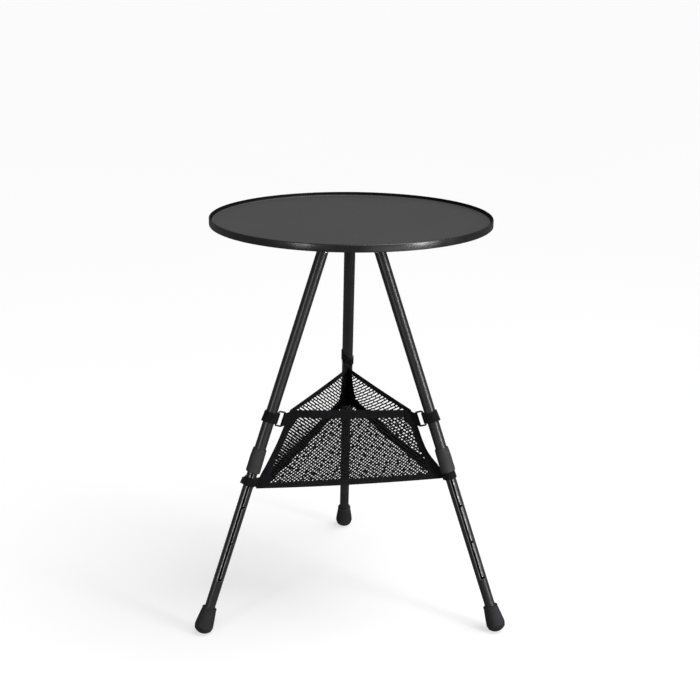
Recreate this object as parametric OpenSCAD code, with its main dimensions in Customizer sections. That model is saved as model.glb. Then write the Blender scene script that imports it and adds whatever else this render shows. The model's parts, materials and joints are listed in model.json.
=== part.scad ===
// Camp kitchen table: a round rimmed tray on a folding tripod with telescopic legs
// and a three-cornered mesh storage bag strung between the legs.
// Millimetres, +Z up, floor at Z = 0, one leg at the back (+Y), two at the front.

/* [Table] */
// Height from the floor to the top of the rim, legs fully out
table_h = 677; // [650:1:700]
// Outer diameter of the tray
top_d = 460; // [430:2:500]
// Depth of the tray's surface below the top of its rim
tray_depth = 6; // [5:0.5:7]
// Thickness of the tray's sheet
sheet_t = 1.5; // [1.2:0.1:1.6]
// Height of the outer wall of the rim
rim_h = 11.6; // [9:0.1:13]

/* [Legs] */
// Angle of a spread leg from vertical
leg_splay = 20.46; // [18:0.02:22]
// Distance of each leg's hinge pin from the table's axis
pivot_r = 42.4; // [41:0.2:46]
// Outer diameter of the upper tubes
upper_d = 19; // [19:0.1:19.4]
// Outer diameter of the lower tubes
lower_d = 17.2; // [16.6:0.1:17.2]
// Wall thickness of all the tubes
tube_wall = 0.8; // [0.7:0.05:0.8]
// Spacing of the height notches along a leg
notch_pitch = 64; // [50:1:64]
// Turn of a lower tube that takes its notch onto the lug
notch_turn = 30; // [24:1:34]

/* [Net bag] */
// Distance up the back leg to the middle of its ring strap
ring_back_s = 420; // [414:1:430]
// Distance up the front legs to the middle of their ring straps
ring_front_s = 382; // [376:1:390]
// Distance up the back leg to the strap of the bag's floor
corner_back_s = 346; // [340:1:352]
// Distance up the left leg to the strap of the bag's floor
corner_left_s = 270; // [262:1:278]
// Distance up the right leg to the strap of the bag's floor
corner_right_s = 278; // [262:1:278]
// Thickness of the mesh cloth
net_t = 1; // [0.8:0.1:1.5]
// Height of the tape around the bag's rim
tape_h = 13; // [10:1:16]

/* [Hidden] */
$fn = 64;
SIDES = ["back", "left", "right"];
azimuth = [90, 210, 330];
slot_turn = [0, 60, -60];

LEG_PARTS = ["leg_head", "head_rivet", "upper_tube", "collar", "ring_strap", "wire_ring",
             "corner_strap", "guide_bush", "lower_tube", "foot"];
NET_WALLS = ["net_wall_front", "net_wall_left", "net_wall_right"];
NET_TAPES = ["net_tape_front", "net_tape_left", "net_tape_right"];

// Heights of the stack under the tray
top_r = top_d/2;
tray_z = table_h - tray_depth;
plate_top = tray_z - sheet_t;
plate_t = 2;
plate_r = 60;
plate_z = plate_top - plate_t;
boss_r = 13;
boss_h = 14;
screw_r = 4;
stud_r = 2;
stud_l = 5.5;
stud_count = 3;
stud_circle_r = 53;
nut_r = 4;
nut_h = 2.8;
hub_gap = 0.3;
hub_top = plate_z - hub_gap;
hub_r = 56;
hub_disc_t = 4;
hub_disc_z = hub_top - hub_disc_t;
pivot_drop = 24;
pivot_z = table_h - pivot_drop;
core_r = 22;
core_h = 22.2;
core_z = hub_top - core_h;
root = 1;

// Hand screw under the hub
washer_t = 1;
washer_r = 10;
knob_r = 19;
knob_h = 16;
knob_body_r = 15;
knob_top = core_z - hub_gap - washer_t;
lobe_r = 5;
lobe_count = 6;
screw_seat = 5;
screw_clear = 3;

// Hinge of a leg
pin_r = 2.5;
run_gap = 0.05;
tongue_w = 10;
ear_gap = 0.3;
ear_t = 5;
ear_r = 9.2;
eye_r = 8;
ear_drop = 9;
ear_z = pivot_z - ear_drop;

// Stations along a leg, counted up its axis from the point where it meets the floor
foot_r = pivot_r + pivot_z*tan(leg_splay);
pivot_s = pivot_z/cos(leg_splay);
upper_r = upper_d/2;
upper_bore = upper_r - tube_wall;
lower_r = lower_d/2;
lower_bore = lower_r - tube_wall;
head_l = 15;
upper_end = pivot_s - head_l;
shoulder_h = 1.5;
plug_l = 30;
rivet_r = 1.6;
rivet_depth = 14;
rivet_s = upper_end - rivet_depth;
notch_count = 4;
notch_first = 98;
lug_s = notch_first + (notch_count - 1)*notch_pitch;
lug_depth = 4;
collar_h = 41;
guide_h = 11;
tube_overlap = 60;
collar_s = lug_s - lug_depth;
collar_top = collar_s + collar_h;
upper_start = collar_s + guide_h;
lower_start = 7;
lower_end = lug_s + tube_overlap;
channel_w = 4;
lug_r = 1.75;
lug_angle = asin(lug_r/lower_r);
slide_gap = 0.1;
guide_gap = 0.15;
collar_top_r = 11.4;
collar_low_r = 12.1;

// Foot, a domed rubber cap
foot_top = 46.6;
foot_top_r = 11.9;
foot_wide_r = 15.6;
foot_wide_s = 15;
dome_r = 18;
dome_s = dome_r/cos(leg_splay);
foot_edge_s = dome_s - sqrt(dome_r*dome_r - foot_wide_r*foot_wide_r);
foot_reach = foot_r - foot_edge_s*sin(leg_splay) + foot_wide_r*cos(leg_splay);

// The table's axis stands where the object's footprint is centred on the origin
axis_y = -(foot_reach - top_r)/2;

// Bag straps and rings
strap_t = 1.9;
strap_gap = 0.4;
tab_l = 3;
ring_strap_h = 20;
corner_strap_h = 14;
corner_hold = [upper_r, lower_r + strap_gap, lower_r + strap_gap];
corner_s = [corner_back_s, corner_left_s, corner_right_s];

// Rings of bent wire: the front ones hang by a long side, the back one by a short side
ring_wire = 1.5;
bar_gap = 0.15;
eye_wall = 1.4;
eye_bite = 0.4;
eye_r_out = ring_wire + bar_gap + eye_wall;
ring_s = [ring_back_s, ring_front_s, ring_front_s];
ring_held = [13, 24, 24];
ring_reach = [24, 13, 13];
ring_drop = [-14, 0, 0];
ring_roll = [90, 0, 0];
ring_offset = upper_r + strap_t + eye_r_out - eye_bite;

// Corners of the bag as [distance from the leg's axis, station along the leg]
net_high_out = [40.5, 34, 34];
net_high_rise = [7, 18, 18];
net_low_gap = 1;
net_low_drop = [0, 8, 0];
net_high_at = [for (i = [0:2]) [net_high_out[i], ring_s[i] + net_high_rise[i]]];
net_low_at = [for (i = [0:2])
              [corner_hold[i] + strap_t + tab_l + net_low_gap, corner_s[i] - net_low_drop[i]]];
function spoke_r(at) = foot_r - at[1]*sin(leg_splay) - at[0]*cos(leg_splay);
function spoke_z(at) = at[1]*cos(leg_splay) - at[0]*sin(leg_splay);
function corner(i, at) = [spoke_r(at)*cos(azimuth[i]), axis_y + spoke_r(at)*sin(azimuth[i]),
                          spoke_z(at)];

BLACK_ALU = [0.10, 0.10, 0.105];
TRAY_GREY = [0.13, 0.13, 0.135];
PLASTIC = [0.06, 0.06, 0.065];
RUBBER = [0.07, 0.07, 0.075];
STEEL = [0.70, 0.70, 0.72];
WEBBING = [0.05, 0.05, 0.055];
MESH = [0.08, 0.08, 0.085];

function arc(centre, r, from, to, steps) =
    [for (k = [0:steps]) let (a = from + (to - from)*k/steps) centre + r*[cos(a), sin(a)]];

module at_axis() {
    translate([0, axis_y, 0]) children();
}

// The leg's own frame: +Z up the leg from the floor, +X outwards, +Y sideways
module on_leg(leg) {
    at_axis() rotate([0, 0, azimuth[leg]]) translate([foot_r, 0, 0])
        rotate([0, -leg_splay, 0]) children();
}

// The radial plane of a leg: +X outwards from the table's axis, +Z up
module on_spoke(leg) {
    at_axis() rotate([0, 0, azimuth[leg]]) children();
}

module sleeve(r_out, r_in, from, to) {
    translate([0, 0, from]) difference() {
        cylinder(r = r_out, h = to - from);
        translate([0, 0, -1]) cylinder(r = r_in, h = to - from + 2);
    }
}

// ---- Top ----

// One pressed sheet: flat tray, swept-up edge, rolled bead and outer wall
module tabletop() {
    bead_r = 1.6;
    sweep_r = 5;
    lip_r = sheet_t/2;
    bead_bite = 0.2;
    wall_drop = 3;
    sweep_x = top_r - 2*bead_r - sweep_r + bead_bite;
    sweep_y = sweep_r - tray_depth;
    wall_x = top_r - sheet_t;
    outline = concat(
        [[0, -tray_depth]],
        arc([sweep_x, sweep_y], sweep_r, -90, -12, 8),
        arc([top_r - bead_r, -bead_r], bead_r, 180, 0, 10),
        arc([top_r - lip_r, lip_r - rim_h], lip_r, 0, -180, 6),
        [[wall_x, sweep_y - wall_drop]],
        arc([sweep_x, sweep_y], sweep_r + sheet_t, -28, -90, 6),
        [[0, -tray_depth - sheet_t]]);
    color(TRAY_GREY) at_axis() translate([0, 0, table_h])
        rotate_extrude($fn = 180) polygon(outline);
}

// Places of the studs that hold the plate, between the hinges
module at_studs() {
    first = azimuth[0] - 60;
    for (k = [0:stud_count - 1])
        at_axis() rotate([0, 0, first + 360*k/stud_count]) translate([stud_circle_r, 0, 0])
            children();
}

// Round plate with the threaded boss that stands in the hub's socket
module mounting_plate() {
    color(BLACK_ALU) difference() {
        at_axis() translate([0, 0, plate_z - boss_h]) union() {
            translate([0, 0, boss_h]) cylinder(r = plate_r, h = plate_t);
            cylinder(r = boss_r, h = boss_h + plate_t/2);
        }
        at_axis() translate([0, 0, plate_z - boss_h - 1])
            cylinder(r = screw_r + run_gap, h = boss_h);
        at_studs() translate([0, 0, plate_z - 1]) cylinder(r = stud_r, h = plate_t + 2);
    }
}

module weld_studs() {
    color(STEEL) at_studs() translate([0, 0, plate_top - stud_l])
        cylinder(r = stud_r, h = stud_l);
}

module stud_nuts() {
    color(STEEL) at_studs() translate([0, 0, plate_z - nut_h]) difference() {
        cylinder(r = nut_r, h = nut_h, $fn = 6);
        translate([0, 0, -1]) cylinder(r = stud_r, h = nut_h + 2);
    }
}

// ---- Hub ----

// The two ears of one leg's hinge, joined by the bar that stops the leg when spread
module clevis() {
    stop_t = 3;
    stop_h = 5;
    stop_play = 1.1;
    ear_root = 4;
    ear_in = tongue_w/2 + ear_gap;
    stop_x = pivot_r + (pivot_z - ear_z)*tan(leg_splay) + eye_r/cos(leg_splay) + stop_play;
    for (side = [0, 1]) mirror([0, side, 0])
        translate([0, ear_in + ear_t, 0]) rotate([90, 0, 0]) linear_extrude(ear_t) {
            translate([core_r - ear_root, ear_z])
                square([stop_x + stop_t - core_r + ear_root, hub_disc_z + root - ear_z]);
            translate([pivot_r, pivot_z]) circle(r = ear_r);
        }
    translate([stop_x, -ear_in - root, ear_z]) cube([stop_t, 2*(ear_in + root), stop_h]);
}

module hub_body() {
    socket_gap = 0.2;
    rib_t = 4;
    rib_h = 8;
    rib_l = hub_r - core_r - rib_h;
    color(PLASTIC) difference() {
        union() {
            at_axis() translate([0, 0, hub_disc_z]) cylinder(r = hub_r, h = hub_disc_t);
            at_axis() translate([0, 0, core_z]) cylinder(r = core_r, h = hub_top - core_z);
            for (leg = [0:2]) {
                on_spoke(leg) clevis();
                on_spoke(leg) rotate([0, 0, 60])
                    translate([core_r - 2*root, -rib_t/2, hub_disc_z - rib_h])
                    cube([rib_l, rib_t, rib_h + root]);
            }
        }
        at_axis() translate([0, 0, plate_z - boss_h - 1])
            cylinder(r = boss_r + socket_gap, h = boss_h + 2);
        at_axis() translate([0, 0, core_z - root]) cylinder(r = screw_r + ear_gap, h = core_r);
        for (leg = [0:2]) on_spoke(leg) translate([pivot_r, 0, pivot_z]) rotate([90, 0, 0])
            translate([0, 0, -core_r]) cylinder(r = pin_r, h = 2*core_r);
        at_studs() translate([0, 0, hub_disc_z - 2*rib_h])
            cylinder(r = nut_r + root, h = hub_disc_t + 3*rib_h);
    }
}

module hinge_pins() {
    half = tongue_w/2 + ear_gap + ear_t;
    head_r = 4;
    head_t = 1.4;
    color(STEEL) for (leg = [0:2]) on_spoke(leg) translate([pivot_r, 0, pivot_z])
        rotate([90, 0, 0]) {
            translate([0, 0, -half - head_t/2]) cylinder(r = pin_r, h = 2*half + head_t);
            for (end = [-half - head_t, half]) translate([0, 0, end])
                cylinder(r = head_r, h = head_t);
        }
}

module lock_knob() {
    neck_h = 3;
    color(PLASTIC) at_axis() translate([0, 0, knob_top - knob_h]) difference() {
        union() {
            cylinder(r = knob_body_r, h = knob_h - neck_h);
            cylinder(r = washer_r, h = knob_h);
            for (k = [0:lobe_count - 1]) rotate([0, 0, 360*k/lobe_count])
                translate([knob_r - lobe_r, 0, 0]) cylinder(r = lobe_r, h = knob_h - neck_h);
        }
        translate([0, 0, screw_seat]) cylinder(r = screw_r, h = knob_h);
    }
}

module lock_screw() {
    foot_z = knob_top - knob_h + screw_seat;
    color(STEEL) at_axis() translate([0, 0, foot_z])
        cylinder(r = screw_r, h = plate_z - screw_clear - foot_z);
}

module lock_washer() {
    color(STEEL) at_axis() sleeve(washer_r, screw_r, knob_top, knob_top + washer_t);
}

// ---- Legs ----

// Moulded hinge end: an eye on a tongue, a shoulder and a plug in the tube
module leg_head(leg) {
    color(PLASTIC) difference() {
        on_leg(leg) union() {
            translate([0, tongue_w/2, pivot_s]) rotate([90, 0, 0])
                cylinder(r = eye_r, h = tongue_w);
            translate([-eye_r, -tongue_w/2, upper_end + shoulder_h - root])
                cube([2*eye_r, tongue_w, pivot_s - upper_end - shoulder_h + root]);
            translate([0, 0, upper_end]) cylinder(r = upper_r, h = shoulder_h);
            translate([0, 0, upper_end - plug_l]) cylinder(r = upper_bore, h = plug_l + root);
        }
        on_leg(leg) translate([0, tongue_w, pivot_s]) rotate([90, 0, 0])
            cylinder(r = pin_r + run_gap, h = 2*tongue_w);
        on_leg(leg) head_rivet_shank(0);
    }
}

// Shank of the rivet through the tube and the head's plug
module head_rivet_shank(extra) {
    half = upper_r + extra;
    translate([0, half, rivet_s]) rotate([90, 0, 0]) cylinder(r = rivet_r, h = 2*half);
}

module head_rivet(leg) {
    button_r = 2.9;
    button_h = 1;
    rise = 0.2;
    color(STEEL) on_leg(leg) {
        head_rivet_shank(rise + button_h/2);
        for (side = [0, 1]) mirror([0, side, 0])
            translate([0, upper_r + rise + button_h, rivet_s]) rotate([90, 0, 0])
            cylinder(r = button_r, h = button_h);
    }
}

module upper_tube(leg) {
    color(BLACK_ALU) on_leg(leg) difference() {
        sleeve(upper_r, upper_bore, upper_start, upper_end);
        head_rivet_shank(1);
    }
}

// Collar on the end of the upper tube: it guides the lower tube and carries the lug
module collar(leg) {
    guide_r = lower_r + guide_gap;
    edge = 0.7;
    straight_h = 12;
    lug_tip = lower_r - tube_wall;
    lug_root = collar_low_r - 2*edge;
    outline = [[guide_r, collar_s], [collar_low_r - edge, collar_s],
               [collar_low_r, collar_s + edge], [collar_low_r, collar_s + straight_h],
               [collar_top_r, collar_top - edge], [collar_top_r - edge, collar_top],
               [upper_r, collar_top], [upper_r, upper_start], [guide_r, upper_start]];
    color(PLASTIC) on_leg(leg) union() {
        rotate_extrude($fn = 96) polygon(outline);
        rotate([0, 0, slot_turn[leg]]) translate([lug_tip, 0, lug_s]) rotate([0, 90, 0])
            cylinder(r = lug_r, h = lug_root - lug_tip);
    }
}

// Plug at the top of the lower tube: its flange runs in the upper tube's bore
module guide_bush(leg) {
    flange_h = 4;
    spigot_h = 18;
    color(PLASTIC) on_leg(leg) {
        translate([0, 0, lower_end + slide_gap])
            cylinder(r = upper_bore - slide_gap, h = flange_h);
        translate([0, 0, lower_end - spigot_h])
            cylinder(r = lower_bore - slide_gap, h = spigot_h + root);
    }
}

// Lower tube: a straight channel with a sideways notch at each height
module lower_tube(leg) {
    half = channel_w/2;
    end_play = 0.5;
    channel_end = lug_s + half + end_play;
    cut_r = lower_r/2;
    over_turn = 2;
    color(BLACK_ALU) on_leg(leg) difference() {
        sleeve(lower_r, lower_bore, lower_start, lower_end);
        rotate([0, 0, slot_turn[leg]]) {
            translate([cut_r, -half, notch_first - half])
                cube([lower_r, channel_w, channel_end - notch_first + half]);
            for (k = [0:notch_count - 1])
                translate([0, 0, notch_first - half + k*notch_pitch])
                    rotate_extrude(angle = notch_turn + lug_angle + over_turn, $fn = 96)
                        translate([cut_r, 0]) square([lower_r, channel_w]);
        }
    }
}

module foot(leg) {
    bore_r = lower_r;
    lip_r = foot_top_r + 0.5;
    lip_h = 3;
    step = 1;
    dome = arc([0, dome_s], dome_r, -90, -asin((dome_s - foot_edge_s)/dome_r), 8);
    outline = concat(
        dome,
        [[foot_wide_r, foot_wide_s], [foot_top_r, foot_top - lip_h - step],
         [lip_r, foot_top - lip_h], [lip_r, foot_top - step], [lip_r - step, foot_top],
         [bore_r, foot_top], [bore_r, lower_start], [0, lower_start]]);
    color(RUBBER) on_leg(leg) rotate_extrude($fn = 96) polygon(outline);
}

// ---- Bag fittings on the legs ----

// The ring's own frame: its held bar lies along Z, and the ring reaches along +X to the bag
module at_ring(leg) {
    on_leg(leg) translate([-ring_offset, 0, ring_s[leg]]) rotate([0, 0, 180])
        rotate([0, ring_drop[leg], 0]) rotate([ring_roll[leg], 0, 0]) children();
}

// Webbing round the upper tube with an eye round the ring's bar
module ring_strap(leg) {
    low_s = ring_s[leg] - ring_strap_h/2;
    bend_l = 5;
    hold_l = ring_held[leg] - bend_l;
    tab_t = 4.4;
    color(WEBBING) difference() {
        union() {
            on_leg(leg) translate([0, 0, low_s])
                cylinder(r = upper_r + strap_t, h = ring_strap_h);
            at_ring(leg) translate([-eye_r_out, -tab_t/2, -hold_l/2])
                cube([eye_r_out, tab_t, hold_l]);
            at_ring(leg) translate([0, 0, -hold_l/2]) cylinder(r = eye_r_out, h = hold_l);
        }
        at_ring(leg) translate([0, 0, -hold_l])
            cylinder(r = ring_wire + bar_gap, h = 2*hold_l);
        on_leg(leg) translate([0, 0, low_s - root]) cylinder(r = upper_r, h = ring_strap_h + 2*root);
    }
}

module wire_ring(leg) {
    held = ring_held[leg];
    reach = ring_reach[leg];
    color(BLACK_ALU) at_ring(leg) {
        for (x = [0, reach]) {
            translate([x, 0, -held/2]) cylinder(r = ring_wire, h = held);
            for (z = [-held/2, held/2]) translate([x, 0, z]) sphere(r = ring_wire);
        }
        for (z = [-held/2, held/2]) translate([0, 0, z]) rotate([0, 90, 0])
            cylinder(r = ring_wire, h = reach);
    }
}

// Webbing that holds a lower corner of the bag to its leg
module corner_strap(leg) {
    hold_r = corner_hold[leg];
    low_s = corner_s[leg] - corner_strap_h/2;
    tab_half = 2;
    color(WEBBING) on_leg(leg) difference() {
        union() {
            translate([0, 0, low_s]) cylinder(r = hold_r + strap_t, h = corner_strap_h);
            translate([-hold_r - strap_t - tab_l, -tab_half, low_s + tab_half])
                cube([hold_r + strap_t + tab_l, 2*tab_half, corner_strap_h - 2*tab_half]);
        }
        translate([0, 0, low_s - 1]) cylinder(r = hold_r, h = corner_strap_h + 2);
    }
}

// ---- Net bag ----

// A sheet of cloth: flat faces over the points of its outline, thickened by a shift
module cloth(outline, faces, shift) {
    n = len(outline);
    polyhedron(concat(outline, [for (q = outline) q + shift]),
               concat([for (f = faces) [for (k = [len(f) - 1:-1:0]) f[k]]],
                      [for (f = faces) [for (k = f) k + n]],
                      [for (k = [0:n - 1]) [k, (k + 1)%n, n + (k + 1)%n]],
                      [for (k = [0:n - 1]) [k, n + (k + 1)%n, n + k]]));
}

function high(i) = corner(i, net_high_at[i]);
function low(i) = corner(i, net_low_at[i]);
function between(p, q, share) = p + (q - p)*share;
function unit(v) = v/norm(v);

// The end of the tape's depth on a corner's edge
function hem(i) = between(high(i), low(i), tape_h/norm(high(i) - low(i)));

// Outward direction of a wall
function wall_out(i, j) = unit(cross(low(j) - low(i), high(i) - low(i)));

module net_wall(i, j) {
    outline = [low(i), low(j), hem(j), high(j), high(i), hem(i)];
    faces = [[0, 1, 2], [0, 2, 5], [5, 2, 4], [2, 3, 4]];
    color(MESH) cloth(outline, faces, net_t*wall_out(i, j));
}

// Tape on the inside of a wall's upper edge, stopping short of both corners
module net_tape(i, j) {
    inset = 0.03;
    outline = [between(high(i), high(j), inset), between(high(i), hem(j), inset),
               between(hem(i), hem(j), inset), between(hem(i), hem(j), 1 - inset),
               between(high(i), hem(j), 1 - inset), between(high(i), high(j), 1 - inset)];
    faces = [[0, 1, 4], [0, 4, 5], [1, 2, 3], [1, 3, 4]];
    color(WEBBING) cloth(outline, faces, -net_t*wall_out(i, j));
}

module net_floor() {
    outline = [low(0), low(2), low(1)];
    down = unit(cross(low(2) - low(0), low(1) - low(0)));
    color(MESH) cloth(outline, [[0, 1, 2]], net_t*down);
}

tabletop();
mounting_plate();
weld_studs();
stud_nuts();
hub_body();
hinge_pins();
lock_knob();
lock_screw();
lock_washer();
net_floor();
net_wall(1, 2);  // net_wall_front
net_wall(0, 1);  // net_wall_left
net_wall(2, 0);  // net_wall_right
net_tape(1, 2);  // net_tape_front
net_tape(0, 1);  // net_tape_left
net_tape(2, 0);  // net_tape_right
for (leg = [0:2]) {
    leg_head(leg);
    head_rivet(leg);
    upper_tube(leg);
    collar(leg);
    ring_strap(leg);
    wire_ring(leg);
    corner_strap(leg);
    guide_bush(leg);
    lower_tube(leg);
    foot(leg);
}
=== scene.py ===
"""Camp kitchen table: a round rimmed tray on a folding tripod, with a mesh bag between the legs.

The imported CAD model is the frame. Metres, +Z up, floor at Z = 0, one leg at the back (+Y).
"""
import json
import math

import bmesh
import bpy
import numpy as np
from mathutils import Matrix, Vector


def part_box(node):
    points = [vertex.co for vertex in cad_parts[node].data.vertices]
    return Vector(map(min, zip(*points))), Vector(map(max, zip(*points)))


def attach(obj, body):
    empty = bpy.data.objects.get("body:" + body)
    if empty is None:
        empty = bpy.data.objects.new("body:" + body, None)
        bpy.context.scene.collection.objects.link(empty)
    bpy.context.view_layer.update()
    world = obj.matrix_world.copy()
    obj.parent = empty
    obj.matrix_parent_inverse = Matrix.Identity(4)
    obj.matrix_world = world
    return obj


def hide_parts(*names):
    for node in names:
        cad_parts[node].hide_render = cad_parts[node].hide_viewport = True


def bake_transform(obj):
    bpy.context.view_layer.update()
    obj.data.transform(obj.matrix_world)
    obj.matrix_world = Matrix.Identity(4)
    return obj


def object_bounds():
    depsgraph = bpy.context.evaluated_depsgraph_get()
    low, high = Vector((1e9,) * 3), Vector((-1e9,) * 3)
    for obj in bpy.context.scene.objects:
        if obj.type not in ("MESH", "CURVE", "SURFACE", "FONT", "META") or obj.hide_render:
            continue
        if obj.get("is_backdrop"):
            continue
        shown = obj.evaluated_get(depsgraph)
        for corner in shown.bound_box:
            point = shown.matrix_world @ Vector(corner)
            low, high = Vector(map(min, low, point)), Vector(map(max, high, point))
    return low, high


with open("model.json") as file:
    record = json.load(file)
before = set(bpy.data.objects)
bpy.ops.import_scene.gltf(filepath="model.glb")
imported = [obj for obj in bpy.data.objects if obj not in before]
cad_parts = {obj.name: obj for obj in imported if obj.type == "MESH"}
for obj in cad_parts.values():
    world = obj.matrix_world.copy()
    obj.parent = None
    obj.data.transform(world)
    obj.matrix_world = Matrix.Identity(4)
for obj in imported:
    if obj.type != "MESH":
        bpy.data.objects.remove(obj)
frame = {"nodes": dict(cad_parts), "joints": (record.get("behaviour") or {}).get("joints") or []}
CAD_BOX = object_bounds()

MM = 0.001
SIDES = ("back", "left", "right")
JOINTS = {joint["name"]: joint for joint in frame["joints"]}
AXIS = np.array(JOINTS["knob_turn"]["pos_m"][:2] + [0.0])
# The floor's own glow, which brings its lit surface just up to white
FLOOR_GLOW = 0.64


# ---------------------------------------------------------------- frames of reference

class Leg:
    """One leg's own frame: out from the table's axis, sideways, and up along the tube."""

    def __init__(self, side):
        pivot = np.array(JOINTS["leg_fold_" + side]["pos_m"])
        self.side = side
        self.up = np.array(JOINTS["leg_slide_" + side]["axis"])
        self.base = pivot - self.up * pivot[2] / self.up[2]
        self.plan = -self.up * (1, 1, 0) / np.linalg.norm(self.up[:2])
        self.across = np.cross((0, 0, 1), self.plan)
        self.out = np.cross(self.across, self.up)
        self.matrix = Matrix(np.column_stack((self.out, self.across, self.up)).tolist()).to_4x4()
        self.matrix.translation = Vector(self.base)
        self.upper = "upper_leg_" + side
        self.lower = "lower_leg_" + side

    def at(self, inward, station, across=0.0):
        """The point this far inside the tube's axis, and this far up the leg from the floor."""
        return self.base - self.out * inward + self.up * station + self.across * across

    def station_of(self, node):
        """(lowest, highest) station of a CAD node along this leg."""
        points = np.array([v.co for v in frame["nodes"][node].data.vertices])
        along = (points - self.base) @ self.up
        return along.min(), along.max()


LEGS = {side: Leg(side) for side in SIDES}
TUBE_R = 9.5 * MM
LOWER_TUBE_R = 8.6 * MM
TUBE_WALL = 0.8 * MM
SLOT_TURN = {"back": 0, "left": 60, "right": -60}
SLOT_RUN = (96 * MM, 293 * MM)


# ---------------------------------------------------------------- mesh helpers

def mesh_object(name, verts, faces, material, smooth_angle=35, weld=1e-6):
    """A new object from points in the row frame, welded, with sharp edges kept past the angle."""
    bm = bmesh.new()
    points = [bm.verts.new(tuple(v)) for v in verts]
    for face in faces:
        if len(set(face)) > 2:
            bm.faces.new([points[i] for i in face])
    return bmesh_object(name, bm, material, smooth_angle, weld)


def bmesh_object(name, bm, material, smooth_angle=35, weld=1e-6):
    bmesh.ops.remove_doubles(bm, verts=bm.verts, dist=weld)
    bmesh.ops.dissolve_degenerate(bm, edges=bm.edges, dist=weld)
    bmesh.ops.recalc_face_normals(bm, faces=bm.faces)
    mesh = bpy.data.meshes.new(name)
    bm.to_mesh(mesh)
    bm.free()
    mesh.shade_smooth()
    mesh.set_sharp_from_angle(angle=math.radians(smooth_angle))
    mesh.materials.append(material)
    obj = bpy.data.objects.new(name, mesh)
    bpy.context.scene.collection.objects.link(obj)
    return obj


def bevel(obj, width, segments=2, angle=40):
    """Rounds the sharp edges of a piece."""
    modifier = obj.modifiers.new("Rounded edges", "BEVEL")
    modifier.width = width
    modifier.segments = segments
    modifier.limit_method = "ANGLE"
    modifier.angle_limit = math.radians(angle)
    modifier.harden_normals = False
    return obj


def grid_faces(rows, columns, offset=0, wrap=False):
    """Quads over a grid of points stored row by row; wrap joins the last column to the first."""
    last = columns if wrap else columns - 1
    return [(offset + r * columns + c, offset + r * columns + (c + 1) % columns,
             offset + (r + 1) * columns + (c + 1) % columns, offset + (r + 1) * columns + c)
            for r in range(rows - 1) for c in range(last)]


def arc(centre, radius, start, end, steps):
    """Points on an arc in a profile's plane, angles in degrees."""
    angles = np.radians(np.linspace(start, end, steps + 1))
    return [(centre[0] + radius * math.cos(a), centre[1] + radius * math.sin(a)) for a in angles]


def lathe(profile, segments, matrix=Matrix.Identity(4), shape=None):
    """Turns (radius, height) points round Z. shape(radius, height, angle) may change a radius."""
    verts = []
    for radius, height in profile:
        for k in range(segments):
            angle = 2 * math.pi * k / segments
            r = shape(radius, height, angle) if shape else radius
            verts.append(matrix @ Vector((r * math.cos(angle), r * math.sin(angle), height)))
    return verts, grid_faces(len(profile), segments, wrap=True)


def smooth_path(points, steps, closed=False):
    """A Catmull-Rom curve through points, with steps samples for each span."""
    p = np.array(points, float)
    n = len(p)
    spans = n if closed else n - 1
    out = []
    for i in range(spans):
        a, b, c, d = (p[(i + k) % n] if closed else p[min(max(i + k, 0), n - 1)] for k in (-1, 0, 1, 2))
        for t in np.arange(steps) / steps:
            out.append(0.5 * (2 * b + (c - a) * t + (2 * a - 5 * b + 4 * c - d) * t * t
                              + (3 * b - 3 * c + d - a) * t ** 3))
    if not closed:
        out.append(p[-1])
    return np.array(out)


def sweep(path, radius, sides=10, closed=False):
    """A round tube along a path of 3-D points."""
    path = np.array(path)
    n = len(path)
    if closed:
        tangents = np.roll(path, -1, 0) - np.roll(path, 1, 0)
    else:
        tangents = np.gradient(path, axis=0)
    tangents /= np.linalg.norm(tangents, axis=1)[:, None]
    normal = np.cross(tangents[0], (0.3, 0.5, 0.8))
    verts = []
    for point, tangent in zip(path, tangents):
        normal = normal - tangent * (normal @ tangent)
        normal /= np.linalg.norm(normal)
        other = np.cross(tangent, normal)
        for k in range(sides):
            a = 2 * math.pi * k / sides
            verts.append(point + radius * (math.cos(a) * normal + math.sin(a) * other))
    faces = grid_faces(n + 1 if closed else n, sides, wrap=True)
    faces = [tuple(i % (n * sides) for i in face) for face in faces]
    if not closed:
        faces += [tuple(range(sides)), tuple(range((n - 1) * sides, n * sides))]
    return verts, faces


def ribbon(path, thickness, span, rows, closed, place, swell=None):
    """Webbing on edge: a flat band that follows path in a plane and stands across it.

    path is (x, y) points, span(x, y) gives the band's (low, high) at a point, and place(x, y, z)
    puts a point in the row frame. swell(x, y, share) moves a point off the path, share 0 to 1 up.
    """
    path = np.array(path)
    n = len(path)
    tangents = np.roll(path, -1, 0) - np.roll(path, 1, 0) if closed else np.gradient(path, axis=0)
    normals = np.column_stack((tangents[:, 1], -tangents[:, 0]))
    normals /= np.linalg.norm(normals, axis=1)[:, None]
    shares = list(np.linspace(0, 1, rows)) + list(np.linspace(1, 0, rows))
    layers = [thickness / 2] * rows + [-thickness / 2] * rows
    verts = []
    for share, layer in zip(shares, layers):
        for (x, y), (nx, ny) in zip(path, normals):
            low, high = span(x, y)
            dx, dy = swell(x, y, share) if swell else (0, 0)
            verts.append(place(x + dx + nx * layer, y + dy + ny * layer, low + (high - low) * share))
    around = grid_faces(2 * rows + 1, n, wrap=closed)
    around = [tuple(i % (2 * rows * n) for i in face) for face in around]
    if not closed:
        for end in (0, n - 1):
            around.append(tuple(end + k * n for k in range(2 * rows)))
    return verts, around


def merge(parts):
    """Several (verts, faces) pairs as one."""
    verts, faces = [], []
    for part_verts, part_faces in parts:
        faces += [tuple(i + len(verts) for i in face) for face in part_faces]
        verts += [tuple(v) for v in part_verts]
    return verts, faces


# ---------------------------------------------------------------- materials

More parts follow.
